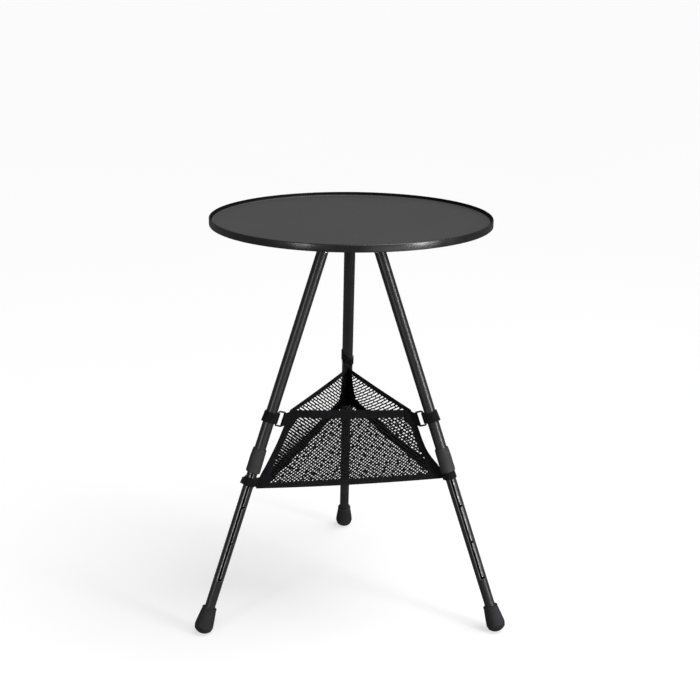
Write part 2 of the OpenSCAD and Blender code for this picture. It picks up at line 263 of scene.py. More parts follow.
class Finish:
    """A Principled material, with its nodes added and linked in one call each."""

    def __init__(self, name, colour, roughness, metallic=0.0, **inputs):
        self.material = bpy.data.materials.new(name)
        self.material.use_nodes = True
        self.tree = self.material.node_tree
        self.shader = self.tree.nodes["Principled BSDF"]
        self.shader.inputs["Base Color"].default_value = (*colour, 1)
        self.shader.inputs["Roughness"].default_value = roughness
        self.shader.inputs["Metallic"].default_value = metallic
        for key, value in inputs.items():
            self.shader.inputs[key].default_value = value
        self.place = self.add("ShaderNodeTexCoord").outputs["Object"]

    def add(self, kind, inputs=None, **settings):
        node = self.tree.nodes.new(kind)
        for key, value in settings.items():
            setattr(node, key, value)
        for key, value in (inputs or {}).items():
            if isinstance(value, bpy.types.NodeSocket):
                self.tree.links.new(value, node.inputs[key])
            else:
                node.inputs[key].default_value = value
        return node

    def math(self, operation, a, b=0.0):
        return self.add("ShaderNodeMath", {0: a, 1: b}, operation=operation).outputs[0]

    def vector(self, operation, a, b, output="Vector"):
        return self.add("ShaderNodeVectorMath", {0: a, 1: b}, operation=operation).outputs[output]

    def noise(self, scale, detail=3.0, roughness=0.5, vector=None, distortion=0.0):
        return self.add("ShaderNodeTexNoise", {
            "Vector": vector or self.place, "Scale": scale, "Detail": detail,
            "Roughness": roughness, "Distortion": distortion}).outputs["Fac"]

    def spread(self, value, low, high, from_low=0.3, from_high=0.7):
        """Maps a value's middle range to low..high."""
        return self.add("ShaderNodeMapRange", {
            "Value": value, "From Min": from_low, "From Max": from_high,
            "To Min": low, "To Max": high}).outputs["Result"]

    def mix(self, share, a, b):
        """Colour a at share 0, colour b at share 1."""
        node = self.add("ShaderNodeMix", data_type="RGBA")
        for key, value in (("A", a), ("B", b)):
            socket = next(s for s in node.inputs if s.name == key and s.type == "RGBA")
            if isinstance(value, bpy.types.NodeSocket):
                self.tree.links.new(value, socket)
            else:
                socket.default_value = (*value, 1)
        self.tree.links.new(share, node.inputs["Factor"])
        return next(s for s in node.outputs if s.type == "RGBA")

    def set(self, key, socket):
        self.tree.links.new(socket, self.shader.inputs[key])

    def bump(self, height, distance, strength=1.0):
        """Adds a height to the surface's bumps."""
        inputs = {"Height": height, "Distance": distance, "Strength": strength}
        before = self.shader.inputs["Normal"]
        if before.is_linked:
            inputs["Normal"] = before.links[0].from_socket
        self.set("Normal", self.add("ShaderNodeBump", inputs).outputs["Normal"])


def tray_finish():
    """Satin powder coat on sheet metal: fine orange peel, faint cloudy sheen, hairline rubs."""
    f = Finish("tray_powder_coat", (0.090, 0.090, 0.091), 0.42, **{"Specular IOR Level": 0.5})
    clouds = f.noise(9, 4, 0.55)
    f.set("Roughness", f.spread(clouds, 0.39, 0.50))
    f.set("Base Color", f.mix(f.spread(f.noise(5, 3), 0, 1), (0.087, 0.087, 0.088), (0.094, 0.094, 0.095)))
    rub = f.vector("MULTIPLY", f.place, (30, 900, 30))
    f.bump(f.noise(1, 2, 0.5, rub), 0.00001, 0.25)
    f.bump(f.noise(1400, 2), 0.00003, 0.35)
    return f.material


def coat_finish(name, colour, lighter, roughness, specular):
    """The rim's black coat, with slight clouds in its colour and gloss; its colour, darker than the tray's,
    is painted shade.
    """
    f = Finish(name, colour, roughness[0], **{"Specular IOR Level": specular})
    f.set("Roughness", f.spread(f.noise(40, 4, 0.6), *roughness))
    f.set("Base Color", f.mix(f.spread(f.noise(14, 3), 0, 1), colour, lighter))
    f.bump(f.noise(900, 2), 0.00002, 0.3)
    return f.material


def bare_edges(f, leg, spoke, along):
    """1 where a lower tube is bare: on the cut faces, and on the filed edges of its channel."""
    radius = f.vector("LENGTH", spoke, (0, 0, 0), "Value")
    inside = f.math("LESS_THAN", radius, LOWER_TUBE_R - 0.08 * MM)
    wall = f.math("GREATER_THAN", radius, LOWER_TUBE_R - TUBE_WALL + 0.06 * MM)
    cut = f.math("MULTIPLY", inside, wall)
    turn = math.radians(SLOT_TURN[leg.side])
    facing = leg.out * math.cos(turn) + leg.across * math.sin(turn)
    beside = leg.across * math.cos(turn) - leg.out * math.sin(turn)
    front = f.math("GREATER_THAN", f.vector("DOT_PRODUCT", spoke, tuple(facing), "Value"), 0)
    offset = f.math("ABSOLUTE", f.vector("DOT_PRODUCT", spoke, tuple(beside), "Value"))
    filed = f.math("LESS_THAN", offset, 2.5 * MM)
    for test, limit in (("GREATER_THAN", SLOT_RUN[0]), ("LESS_THAN", SLOT_RUN[1])):
        filed = f.math("MULTIPLY", filed, f.math(test, along, limit))
    return f.math("MAXIMUM", cut, f.math("MULTIPLY", filed, front))


def tube_finish(leg, slotted=False):
    """Black anodised aluminium, with drawing lines along the tube; slots cut bare."""
    f = Finish("anodised_tube_" + leg.side + ("_slotted" if slotted else ""),
               (0.028, 0.028, 0.029), 0.34, **{"Specular IOR Level": 0.6})
    local = f.vector("SUBTRACT", f.place, tuple(leg.base))
    along = f.vector("DOT_PRODUCT", local, tuple(leg.up), "Value")
    run = f.add("ShaderNodeVectorMath", {0: tuple(leg.up), "Scale": along}, operation="SCALE").outputs[0]
    spoke = f.vector("SUBTRACT", local, run)
    fine, long = (900, 900, 900), (14, 14, 14)
    drawn = f.vector("ADD", f.vector("MULTIPLY", spoke, fine), f.vector("MULTIPLY", run, long))
    lines = f.noise(1, 3, 0.6, drawn)
    f.set("Roughness", f.spread(lines, 0.29, 0.40))
    colour = f.mix(f.spread(f.noise(30, 3), 0, 1), (0.022, 0.022, 0.023), (0.034, 0.034, 0.035))
    if slotted:
        bare = bare_edges(f, leg, spoke, along)
        colour = f.mix(bare, colour, (0.80, 0.80, 0.81))
        f.set("Metallic", f.math("MULTIPLY", bare, 0.35))
    f.set("Base Color", colour)
    f.bump(lines, 0.00001, 0.3)
    return f.material


def plastic_finish(name, colour=(0.030, 0.030, 0.031), grain=1100, roughness=0.55):
    """Moulded nylon with a fine spark-eroded grain."""
    f = Finish(name, colour, roughness, **{"Specular IOR Level": 0.45})
    f.set("Roughness", f.spread(f.noise(60, 3), roughness - 0.05, roughness + 0.08))
    lighter = tuple(c * 1.5 for c in colour)
    f.set("Base Color", f.mix(f.spread(f.noise(25, 4), 0, 1), colour, lighter))
    f.bump(f.noise(grain, 2), 0.00006, 0.5)
    return f.material


def rubber_finish():
    """Matt rubber, dusted and scuffed towards the floor."""
    f = Finish("foot_rubber", (0.030, 0.030, 0.032), 0.72, **{"Specular IOR Level": 0.35})
    height = f.add("ShaderNodeSeparateXYZ", {0: f.place}).outputs["Z"]
    low = f.spread(height, 1, 0, 0.0, 0.016)
    scuff = f.math("MULTIPLY", low, f.spread(f.noise(260, 5, 0.7), 0, 1, 0.42, 0.62))
    f.set("Base Color", f.mix(scuff, (0.028, 0.028, 0.030), (0.085, 0.083, 0.080)))
    f.set("Roughness", f.spread(f.noise(120, 3), 0.64, 0.80))
    f.bump(f.noise(900, 3), 0.00008, 0.5)
    return f.material


def steel_finish():
    """Bright zinc-plated steel."""
    f = Finish("plated_steel", (0.62, 0.62, 0.63), 0.3, 1.0)
    f.set("Roughness", f.spread(f.noise(300, 4), 0.24, 0.42))
    f.bump(f.noise(1500, 2), 0.00002, 0.3)
    return f.material


def wire_finish():
    """Black-lacquered wire."""
    f = Finish("lacquered_wire", (0.012, 0.012, 0.013), 0.30, **{"Specular IOR Level": 0.6})
    f.set("Roughness", f.spread(f.noise(400, 3), 0.24, 0.40))
    f.bump(f.noise(1200, 2), 0.00003, 0.4)
    return f.material


def cloth_finish(name, colour, rib, tint=(1.0, 0.96, 1.06)):
    """Black polyester yarn: ribs across two directions, a little fuzz and a faint violet cast."""
    f = Finish(name, colour, 0.82, **{"Specular IOR Level": 0.2, "Sheen Weight": 0.06,
                                      "Sheen Roughness": 0.5})
    waves = []
    for direction in ((1, 0.25, 0.6), (-0.3, 1, 0.7)):
        turned = f.vector("DOT_PRODUCT", f.place, tuple(Vector(direction).normalized()), "Value")
        waves.append(f.math("SINE", f.math("MULTIPLY", turned, 2 * math.pi / rib)))
    weave = f.math("MULTIPLY", waves[0], waves[1])
    fuzz = f.noise(2500, 3)
    lighter = tuple(c * 1.9 * t for c, t in zip(colour, tint))
    f.set("Base Color", f.mix(f.spread(f.noise(70, 4, 0.6), 0, 1), colour, lighter))
    f.bump(weave, 0.00012, 0.5)
    f.bump(fuzz, 0.0001, 0.4)
    return f.material


def thread_finish():
    """Sewing thread, a shade lighter than the webbing."""
    f = Finish("sewing_thread", (0.050, 0.048, 0.052), 0.6, **{"Sheen Weight": 0.1})
    f.bump(f.noise(4000, 2), 0.00005, 0.5)
    return f.material


TRAY = tray_finish()
# The rim's coat is far darker than the tray's, though the tray is one pressed sheet with one coat: the darker
# colour is painted shade on the rim's walls
RIM = coat_finish("rim_gloss_coat_painted_shade", (0.008, 0.008, 0.009), (0.014, 0.014, 0.015), (0.22, 0.34), 1.0)
# The inside of the rim is more matt than its outside, and darker still: the darker colour is painted shade,
# for the inner wall that lies in shade
INNER_RIM_PAINTED_SHADE = coat_finish("rim_matt_coat_painted_shade", (0.003, 0.003, 0.003), (0.006, 0.006, 0.006), (0.50, 0.62), 0.12)
TUBES = {side: tube_finish(LEGS[side]) for side in SIDES}
SLOTTED = {side: tube_finish(LEGS[side], True) for side in SIDES}
HUB_PLASTIC = plastic_finish("hub_nylon")
LEG_PLASTIC = plastic_finish("collar_nylon", (0.034, 0.034, 0.035), 900, 0.58)
RUBBER = rubber_finish()
STEEL = steel_finish()
PAINTED_STEEL = plastic_finish("painted_plate", (0.025, 0.025, 0.026), 700, 0.45)
WIRE = wire_finish()
WEBBING = cloth_finish("webbing_weave", (0.0055, 0.0053, 0.006), 1.1 * MM)
MESH = cloth_finish("mesh_knit", (0.0055, 0.0055, 0.006), 0.8 * MM)
THREAD = thread_finish()


# ---------------------------------------------------------------- tray and CAD finishes

def build_tray():
    """The pressed tray: flat floor, swept edge, rolled bead and outer wall, turned in one go."""
    low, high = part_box("tabletop")
    rim = (high.x - low.x) / 2
    top, depth, sheet, wall = high.z, 6 * MM, 1.5 * MM, high.z - low.z
    bead, sweep_r = 1.6 * MM, 5 * MM
    sweep_x = rim - 2 * bead - sweep_r + 0.2 * MM
    floor_z = -depth
    profile = [(0, floor_z), (0.5 * sweep_x, floor_z), (sweep_x - 2 * MM, floor_z)]
    profile += arc((sweep_x, floor_z + sweep_r), sweep_r, -90, -12, 12)
    profile += arc((rim - bead, -bead), bead, 172, 0, 16)
    profile += arc((rim - sheet / 2, sheet / 2 - wall), sheet / 2, 0, -180, 8)
    profile += [(rim - sheet, floor_z + sweep_r - 4 * MM)]
    profile += arc((sweep_x, floor_z + sweep_r), sweep_r + sheet, -28, -90, 8)
    profile += [(0.5 * sweep_x, floor_z - sheet), (0, floor_z - sheet)]
    matrix = Matrix.Translation((AXIS[0], AXIS[1], top))
    verts, faces = lathe(profile, 256, matrix)
    tray = mesh_object("tray", verts, faces, TRAY, 50)
    # The rim takes a coat darker than the tray's, and its inner wall a darker one again: both darker colours
    # are painted shade
    tray.data.materials.append(RIM)
    tray.data.materials.append(INNER_RIM_PAINTED_SHADE)
    for face in tray.data.polygons:
        spoke = Vector(face.center) - Vector(AXIS)
        reach = spoke.xy.length
        # Faces on the rim's inner wall get the darkest copy of the coat, whose colour is painted shade
        inward = face.normal.xy.dot(spoke.xy) < 0 and reach < rim - bead
        face.material_index = (2 if inward else 1) if reach > sweep_x + 0.62 * sweep_r else 0
    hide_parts("tabletop")
    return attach(tray, "table_top")


def dress_cad_nodes():
    """Finishes for the CAD nodes that show as they are."""
    finishes = {"mounting_plate": PAINTED_STEEL, "weld_studs": STEEL, "stud_nuts": STEEL,
                "hub_body": HUB_PLASTIC, "hinge_pins": STEEL, "lock_knob": HUB_PLASTIC,
                "lock_screw": STEEL, "lock_washer": STEEL}
    for side in SIDES:
        finishes["leg_head_" + side] = LEG_PLASTIC
        finishes["head_rivet_" + side] = STEEL
        finishes["upper_tube_" + side] = TUBES[side]
        finishes["lower_tube_" + side] = SLOTTED[side]
        finishes["guide_bush_" + side] = LEG_PLASTIC
    for node, finish in finishes.items():
        obj = frame["nodes"][node]
        obj.data.materials.clear()
        obj.data.materials.append(finish)


# ---------------------------------------------------------------- collars and feet

def build_collar(leg):
    """Collar with a chamfered top, fine ribs, and a lower end that swells outwards."""
    low, high = leg.station_of("collar_" + leg.side)
    bore, tube, top_r, low_r = LOWER_TUBE_R + 0.15 * MM, TUBE_R, 11.4 * MM, 12.1 * MM
    step = low + 11 * MM
    profile = [(bore, low), (low_r - 1.4 * MM, low)]
    profile += arc((low_r - 1.4 * MM, low + 1.4 * MM), 1.4 * MM, -70, 0, 4)
    profile += [(low_r + (top_r - low_r) * t, low + 2 * MM + (high - low - 4 * MM) * t)
                for t in np.linspace(0, 1, 14)]
    profile += arc((top_r - 1.2 * MM, high - 1.2 * MM), 1.2 * MM, 0, 80, 4)
    profile += [(tube + 0.02 * MM, high), (tube + 0.02 * MM, step), (bore, step)]

    def shape(radius, height, angle):
        if radius < tube + 0.3 * MM:
            return radius
        share = (height - low) / (high - low)
        rib = 0.14 * MM * math.cos(36 * angle) if 0.1 < share < 0.93 else 0
        swell = 0.6 * MM * max(0, math.cos(angle)) ** 2 * math.sin(math.pi * min(1, 1.3 * (1 - share))) ** 2
        return radius + rib + swell

    verts, faces = lathe(profile + profile[:1], 216, leg.matrix, shape)
    collar = mesh_object("collar_body_" + leg.side, verts, faces, LEG_PLASTIC, 38)
    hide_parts("collar_" + leg.side)
    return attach(collar, leg.upper)


def build_foot(leg):
    """Rubber foot: domed sole, long skirt with shallow flutes, and a small lip at the top."""
    high = leg.station_of("foot_" + leg.side)[1]
    bore, wide, neck, dome_r = LOWER_TUBE_R, 15.6 * MM, 11.9 * MM, 18 * MM
    dome_s = dome_r / leg.up[2]
    edge = 1.4 * MM
    end = math.degrees(math.asin((wide - edge) / dome_r))
    skirt = 15 * MM
    profile = arc((0, dome_s), dome_r, -90, end - 90, 14)
    profile += arc((wide - edge, skirt - 1.6 * MM), edge, -40, 8, 4)
    profile += [(wide + (neck - wide) * t ** 1.15, skirt + (high - 2.4 * MM - skirt) * t)
                for t in np.linspace(0, 1, 18)]
    profile += arc((neck - 0.5 * MM, high - 1.1 * MM), 0.95 * MM, -50, 80, 7)
    profile += [(neck - 1.4 * MM, high), (bore, high), (bore, high - 38 * MM)]

    def shape(radius, height, angle):
        share = (height - skirt) / (high - 4 * MM - skirt)
        if radius < bore + 1 * MM or not 0 < share < 1:
            return radius
        flute = max(0, math.cos(18 * angle)) ** 3 * 0.45 * MM
        return radius - flute * math.sin(math.pi * share) ** 0.4

    verts, faces = lathe(profile, 216, leg.matrix, shape)
    foot = mesh_object("foot_cap_" + leg.side, verts, faces, RUBBER, 42)
    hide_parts("foot_" + leg.side)
    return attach(foot, leg.lower)


# ---------------------------------------------------------------- rings and straps on the legs

RING_OFFSET = 13.8 * MM
WIRE_R = 1.5 * MM
RING = {"back": dict(station=420 * MM, held=13 * MM, reach=24 * MM, drop=-14, roll=90),
        "left": dict(station=382 * MM, held=24 * MM, reach=13 * MM, drop=0, roll=0),
        "right": dict(station=382 * MM, held=24 * MM, reach=13 * MM, drop=0, roll=0)}
CORNER_STATION = {"back": 346 * MM, "left": 270 * MM, "right": 279.5 * MM}
CORNER_HALF = {"back": 7.0 * MM, "left": 7.0 * MM, "right": 5.6 * MM}
CORNER_REACH = {"back": 15 * MM, "left": 17 * MM, "right": 12.5 * MM}
BAND_T = 1.4 * MM


def ring_matrix(leg):
    """The ring's own frame: its held bar lies along Z, and the ring reaches along +X to the bag."""
    ring = RING[leg.side]
    return (leg.matrix @ Matrix.Translation((-RING_OFFSET, 0, ring["station"]))
            @ Matrix.Rotation(math.pi, 4, "Z") @ Matrix.Rotation(math.radians(ring["drop"]), 4, "Y")
            @ Matrix.Rotation(math.radians(ring["roll"]), 4, "X"))


def build_ring(leg):
    """Rectangular ring of bent wire with rounded corners."""
    ring = RING[leg.side]
    half, reach, bend = ring["held"] / 2, ring["reach"], 2.4 * MM
    path = []
    for x, z, start in ((reach - bend, half - bend, 0), (bend, half - bend, 90),
                        (bend, bend - half, 180), (reach - bend, bend - half, 270)):
        path += arc((x, z), bend, start, start + 90, 6)
    matrix = ring_matrix(leg)
    points = [matrix @ Vector((x, 0, z)) for x, z in path]
    verts, faces = sweep(points, WIRE_R, 12, closed=True)
    obj = mesh_object("ring_" + leg.side, verts, faces, WIRE, 60)
    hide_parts("wire_ring_" + leg.side)
    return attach(obj, leg.upper)


def loop_path(tube_r, bar_x, bar_r, steps=6):
    """Webbing round a tube and back round a bar at bar_x, pinched between them, as (x, y) points."""
    around = [(tube_r * math.cos(a), tube_r * math.sin(a)) for a in np.radians(np.arange(-156, 157, 26))]
    pinch = bar_x + bar_r + 1.0 * MM
    gap = BAND_T / 2 + 0.05 * MM
    bar = [(bar_x + bar_r * math.cos(a), bar_r * math.sin(a)) for a in np.radians((60, 110, 180, 250, 300))]
    return smooth_path(around + [(pinch, gap)] + bar + [(pinch, -gap)], steps, closed=True)


def slack(amount, tube_r):
    """Lets a loop stand off the tube on its outer side, most at its lower edge."""
    def swell(x, y, share):
        away = max(0.0, x / tube_r) ** 2 * amount * (1 - 0.75 * share)
        return away, 0.0
    return swell


def build_ring_strap(leg):
    """Webbing loop round the tube and the ring's held bar, standing off a little outside."""
    ring = RING[leg.side]
    wrap = TUBE_R + BAND_T / 2 + 0.25 * MM
    hold = min(ring["held"] - 2 * WIRE_R - 3 * MM, 19 * MM)
    if leg.side == "back":
        return build_back_ring_strap(leg, wrap, hold)
    middle = ring["station"]

    def span(x, y):
        near = min(1.0, max(0.0, (x + 12 * MM) / (6 * MM)))
        half = hold / 2 + (8.6 * MM - hold / 2) * near
        return middle - half, middle + half

    def place(x, y, z):
        return leg.matrix @ Vector((x, y, z))

    path = loop_path(wrap, -RING_OFFSET, WIRE_R + BAND_T / 2 + 0.12 * MM)
    strap = ribbon(path, BAND_T, span, 9, True, place, slack(2.6 * MM, wrap))
    return finish_strap(leg, "ring_strap_", strap, box_stitch(leg, wrap, middle))


def build_back_ring_strap(leg, wrap, hold):
    """The back strap runs round the tube on a slant, down to the ring's short bar."""
    middle = RING["back"]["station"]
    slant = 0.7

    def span(x, y):
        rise = slant * y
        half = 7.6 * MM + 0.12 * y
        return middle - half + rise, middle + half + rise

    def place(x, y, z):
        return leg.matrix @ Vector((x, y, z))

    around = [(wrap * math.cos(a), wrap * math.sin(a)) for a in np.radians(np.arange(0, 360, 12))]
    loop = ribbon(around, BAND_T, span, 9, True, place, slack(1.6 * MM, wrap))
    matrix = ring_matrix(leg)
    eye_r = WIRE_R + BAND_T / 2 + 0.1 * MM
    eye = [(eye_r * math.cos(a), eye_r * math.sin(a)) for a in np.radians(np.arange(0, 360, 20))]

    def place_eye(x, y, z):
        return matrix @ Vector((x, y, z))

    tab = ribbon(eye, BAND_T, lambda x, y: (-hold / 2, hold / 2), 5, True, place_eye)
    return finish_strap(leg, "ring_strap_", merge([loop, tab]), box_stitch(leg, wrap, middle))


def finish_strap(leg, cad_name, strap, stitches):
    band = mesh_object(cad_name.replace("strap", "webbing") + leg.side, *strap, WEBBING, 45)
    bevel(band, 0.35 * MM)
    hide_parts(cad_name + leg.side)
    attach(band, leg.upper)
    thread = mesh_object(cad_name.replace("strap", "stitches") + leg.side, *stitches, THREAD, 60)
    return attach(thread, leg.upper)


def stitch(start, end, normal, width=0.42 * MM, rise=0.2 * MM):
    """One stitch: a low ridge of thread from start to end, standing on the cloth."""
    start, end, normal = (np.array(v, float) for v in (start, end, normal))
    across = np.cross(end - start, normal)
    across *= width / (2 * np.linalg.norm(across))
    sink = -0.25 * MM * normal
    quarter = (end - start) * 0.22
    verts = [start + sink - across, start + sink + across, end + sink + across, end + sink - across,
             start + quarter + rise * normal, end - quarter + rise * normal]
    faces = [(0, 1, 2, 3), (0, 3, 5, 4), (1, 4, 5, 2), (0, 4, 1), (3, 2, 5)]
    return verts, faces


def stitch_line(points, normals, pitch=3.1 * MM, length=2.3 * MM, **how):
    """Stitches at an even pitch along a line of points on a surface."""
    points, normals = np.array(points), np.array(normals)
    lengths = np.concatenate(([0], np.cumsum(np.linalg.norm(np.diff(points, axis=0), axis=1))))
    parts = []
    for s in np.arange(pitch / 2, lengths[-1] - length, pitch):
        at = [np.array([np.interp(q, lengths, points[:, k]) for k in range(3)]) for q in (s, s + length)]
        normal = np.array([np.interp(s, lengths, normals[:, k]) for k in range(3)])
        parts.append(stitch(at[0], at[1], normal / np.linalg.norm(normal), **how))
    return merge(parts)


def box_stitch(leg, wrap, middle, half=6.5 * MM):
    """A sewn box on the strap, on both faces beside the tube where its ends overlap."""
    parts = []
    radius = wrap + BAND_T / 2
    for sign in (-1, 1):
        def spot(angle, height):
            a = math.radians(angle) * sign
            normal = leg.out * math.cos(a) + leg.across * math.sin(a)
            return leg.base + radius * normal + leg.up * (middle + height), normal
        lines = [[spot(a, h) for a in np.linspace(100, 140, 9)] for h in (-half, half)]
        lines += [[spot(a, h) for h in np.linspace(-half, half, 5)] for a in (100, 140)]
        lines += [[spot(100 + 40 * t, half * (2 * t - 1) * d) for t in np.linspace(0, 1, 9)] for d in (-1, 1)]
        for line in lines:
            parts.append(stitch_line([p for p, _ in line], [n for _, n in line], 2.4 * MM, 1.8 * MM))
    return merge(parts)


def build_corner_strap(leg):
    """Webbing round the leg at a lower corner of the bag, sewn flat where it meets the bag."""
    tube = TUBE_R if leg.side == "back" else LOWER_TUBE_R + 0.2 * MM
    wrap = tube + BAND_T / 2 + 0.1 * MM
    middle = CORNER_STATION[leg.side]
    reach = CORNER_REACH[leg.side]
    gap = BAND_T / 2 + 0.04 * MM
    step = 26
    if leg.side == "left":
        tail = 4.4 * MM
        front = [(wrap * math.cos(a), wrap * math.sin(a)) for a in np.radians(np.arange(-156, -10, step))]
        back = [(x, -y) for x, y in reversed(front)]
        fold = [(wrap + 1.2 * MM, -gap), (wrap + tail, -gap), (wrap + tail + 0.7 * MM, 0),
                (wrap + tail, gap), (wrap + 1.2 * MM, gap)]
        around = front + fold + back
    else:
        around = [(wrap * math.cos(a), wrap * math.sin(a)) for a in np.radians(np.arange(-156, 157, step))]
    tab = [(-wrap - 1.8 * MM, gap), (-reach, gap), (-reach - 0.8 * MM, 0), (-reach, -gap),
           (-wrap - 1.8 * MM, -gap)]
    path = smooth_path(around + tab, 4, closed=True)

    def span(x, y):
        toward = min(1.0, max(0.0, (-x - wrap) / (reach - wrap)))
        outward = min(1.0, max(0.0, (x - wrap) / (4 * MM)))
        half = CORNER_HALF[leg.side] * (1 + 0.3 * toward) - 1.6 * MM * outward
        return middle - half, middle + half

    def place(x, y, z):
        return leg.matrix @ Vector((x, y, z))

    strap = ribbon(path, BAND_T, span, 7, True, place, slack(0.8 * MM, wrap))
    lines = []
    seam, half = (wrap + 2 * MM + reach) / 2, 0.8 * CORNER_HALF[leg.side]
    for sign in (-1, 1):
        points = [leg.at(seam, middle + height, sign * (gap + BAND_T / 2))
                  for height in np.linspace(-half, half, 7)]
        lines.append(stitch_line(points, [leg.across * sign] * 7, 2.4 * MM, 1.8 * MM))
    return finish_strap(leg, "corner_strap_", strap, merge(lines))


# ---------------------------------------------------------------- the mesh bag

# The bag's corner lines, bottom to top, as (inside the tube's axis, station up the leg) in mm
CORNER_LINE = {
    "back": ((15.5, 346), (21, 363), (28, 382), (34, 400), (38.5, 415), (40.5, 427.5)),
    "left": ((16.6, 260), (16.2, 272), (17.5, 284), (21.5, 301), (25.5, 321), (29.5, 345),
             (31.8, 370), (34, 400)),
    "right": ((12.5, 276.5), (13.6, 290), (16.5, 301), (22, 312), (27.2, 326), (30, 346),
              (31, 373), (34, 400)),
}
WALLS = {"front": ("left", "right"), "left": ("back", "left"), "right": ("right", "back")}
GRAIN = {"front": 142, "left": 47, "right": 139, "floor": 52}
LOW_SAG = {"front": (0, 0, -2.5 * MM), "left": (0, 0, -3 * MM), "right": (0, 0, -3 * MM)}
HIGH_SAG = (0, 0, -0.8 * MM)
FLOOR_SAG = 7 * MM
WALL_HOLLOW = 3 * MM

SLOT_PITCH = 4.7 * MM
SLOT_CELL = 26 * MM
SLOT_W = 2.35 * MM
SLOT_L = 24 * MM
NET_T = 0.8 * MM
NET_INSET = 3 * MM
LEAST_AREA = 0.3
TAPE_T = 1.7 * MM
TAPE_W = {"front": 13 * MM, "left": 8.5 * MM, "right": 8.5 * MM}
SEAM_W = 9 * MM
PATCH = {"left": 12 * MM, "right": 17 * MM}
# A wall's side tapes: widths, and how far up the patch reaches and the upper flare begins
GUSSET_W = 30 * MM
EDGE_W = 11 * MM
PATCH_END, FLARE_START = 0.34, 0.76
FLOOR_PATCH = (36 * MM, 22 * MM, 30 * MM)


def corner_line(side, v):
    """A point on a corner line, v from 0 at the bottom to 1 at the top."""
    points = np.array(CORNER_LINE[side], float) * MM
    v = np.atleast_1d(v)
    smooth = smooth_path(points, 8)
    places = np.append(0, np.cumsum(np.linalg.norm(np.diff(smooth, axis=0), axis=1)))
    places /= places[-1]
    inward, station = (np.interp(v, places, smooth[:, k]) for k in (0, 1))
    leg = LEGS[side]
    return leg.base - np.outer(inward, leg.out) + np.outer(station, leg.up)


class Wall:
    """A wall of the bag between two corner lines: u runs along it, v from bottom to top."""

    def __init__(self, name):
        self.name = name
        self.start, self.end = WALLS[name]
        corners = [corner_line(s, v)[0] for s, v in
                   ((self.start, 0), (self.end, 0), (self.end, 1), (self.start, 1))]
        along = corners[1] - corners[0]
        self.e1 = along / np.linalg.norm(along)
        rise = corners[3] + corners[2] - corners[0] - corners[1]
        self.normal = np.cross(self.e1, rise)
        self.normal /= np.linalg.norm(self.normal)
        self.e2 = np.cross(self.normal, self.e1)
        middle = sum(corners) / 4
        if (middle - AXIS) @ self.normal < 0:
            self.normal = -self.normal
        self.origin = corners[0]
        self.quad = np.array([((c - self.origin) @ self.e1, (c - self.origin) @ self.e2) for c in corners])
        self.width = np.linalg.norm(along)
        self.sag = np.array(LOW_SAG[name]), np.array(HIGH_SAG)

    def surface(self, uv):
        u, v = uv[:, :1], uv[:, 1:2]
        flat = corner_line(self.start, uv[:, 1]) * (1 - u) + corner_line(self.end, uv[:, 1]) * u
        droop = 4 * u * (1 - u) * (self.sag[0] * (1 - v) + self.sag[1] * v)
        hollow = -WALL_HOLLOW * 16 * u * (1 - u) * v * (1 - v) * self.normal
        return flat + droop + hollow

    def height(self, u):
        """Length of the wall's line at u, bottom to top."""
        ends = self.surface(np.array([(u, 0.0), (u, 1.0)]))
        return np.linalg.norm(ends[1] - ends[0])

    def length(self, v):
        ends = self.surface(np.array([(0.0, v), (1.0, v)]))
        return np.linalg.norm(ends[1] - ends[0])

    def flat(self, uv):
        a, b, c, d = self.quad
        u, v = uv[:, :1], uv[:, 1:2]
        return a * (1 - u) * (1 - v) + b * u * (1 - v) + c * u * v + d * (1 - u) * v

    def from_flat(self, points):
        """The (u, v) of points in the flat cut, by Newton's method."""
        a, b, c, d = self.quad
        uv = np.full((len(points), 2), 0.5)
        for _ in range(10):
            u, v = uv[:, :1], uv[:, 1:2]
            miss = points - self.flat(uv)
            du = (b - a) * (1 - v) + (c - d) * v
            dv = (d - a) * (1 - u) + (c - b) * u
            det = du[:, 0] * dv[:, 1] - du[:, 1] * dv[:, 0]
            uv = uv + np.column_stack(((miss[:, 0] * dv[:, 1] - miss[:, 1] * dv[:, 0]) / det,
                                       (du[:, 0] * miss[:, 1] - du[:, 1] * miss[:, 0]) / det))
        return uv

    def outline(self):
        return self.flat(np.array([(0, 0), (1, 0), (1, 1), (0, 1)], float))

    def lift(self, points):
        return self.surface(self.from_flat(points))


class Floor:
    """The bag's three-cornered floor, in shares of its corners: back, left and right."""

    def __init__(self):
        self.name = "floor"
        self.corners = np.array([corner_line(side, 0)[0] for side in SIDES])
        back, left, right = self.corners
        self.e1 = (right - left) / np.linalg.norm(right - left)
        self.normal = np.cross(self.e1, back - left)
        self.normal /= np.linalg.norm(self.normal)
        self.e2 = np.cross(self.normal, self.e1)
        self.normal = -self.normal if self.normal[2] > 0 else self.normal
        self.origin = left
        self.tri = np.array([((c - left) @ self.e1, (c - left) @ self.e2) for c in self.corners])
        self.width = np.linalg.norm(right - left)

    def surface(self, shares):
        b, l, r = shares.T[:, :, None]
        point = b * self.corners[0] + l * self.corners[1] + r * self.corners[2]
        edges = (4 * l * r * np.array(LOW_SAG["front"]) + 4 * b * l * np.array(LOW_SAG["left"])
                 + 4 * b * r * np.array(LOW_SAG["right"]))
        return point + edges + 27 * b * l * r * np.array((0, 0, -FLOOR_SAG))

    def outline(self):
        return self.tri[[1, 2, 0]]

    def shares(self, points):
        system = np.vstack((self.tri.T, np.ones(3)))
        return np.linalg.solve(system, np.vstack((points.T, np.ones(len(points))))).T

    def lift(self, points):
        return self.surface(self.shares(points))


